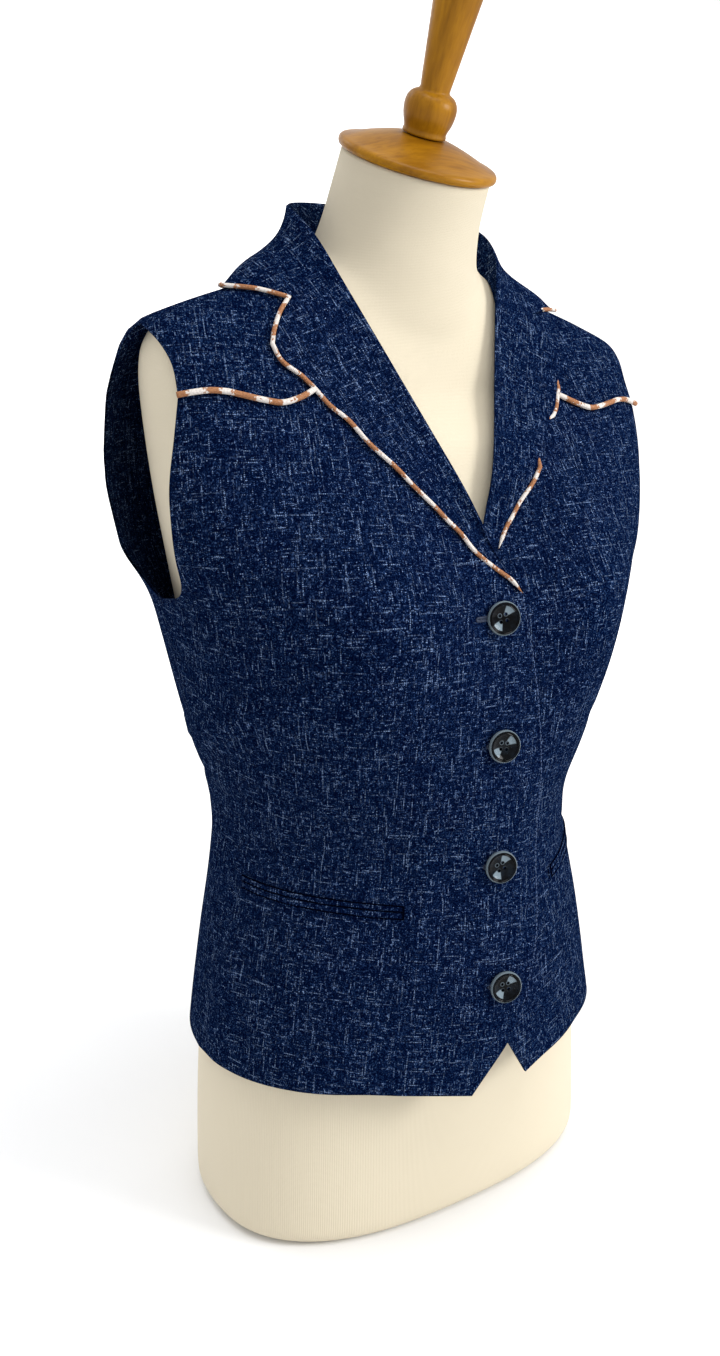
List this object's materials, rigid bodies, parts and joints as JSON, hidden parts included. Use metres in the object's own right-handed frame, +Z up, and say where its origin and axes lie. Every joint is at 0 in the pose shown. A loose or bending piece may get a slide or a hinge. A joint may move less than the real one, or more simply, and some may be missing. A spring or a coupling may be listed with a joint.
{
  "type": "western vest on a dress form",
  "caption": "Sleeveless buttoned western vest with notched collar, yokes, piping and welt pockets, on a limbless dress form.",
  "frame": {"origin": "on the surface that the form stands on, midway between the sides, and within 2 mm of the middle of the form's foot from front to back", "axes": "+Z up; the wearer faces -Y, so the wearer's left is +X"},
  "size_m": [0.3828, 0.2661, 0.8629],
  "materials": {
    "denim": "matt slubbed weave",
    "piping": "matt brown and white cotton",
    "jersey": "matt cream jersey",
    "varnished_wood": "satin varnish",
    "button": "glossy"
  },
  "bodies": {
    "root": {"form_body": "jersey", "neck_cap": "varnished_wood", "neck_finial": "varnished_wood", "back": "denim", "front_right": "denim", "front_left": "denim", "yoke_right": "denim", "yoke_left": "denim", "collar_right": "denim", "collar_left": "denim", "piping_collar_right": "piping", "piping_collar_left": "piping", "piping_yoke_right": "piping", "piping_yoke_left": "piping", "pocket_right_welt_upper": "denim", "pocket_right_welt_lower": "denim", "pocket_left_welt_upper": "denim", "pocket_left_welt_lower": "denim", "button_1": "button", "button_2": "button", "button_3": "button", "button_4": "button"}
  },
  "joints": []
}
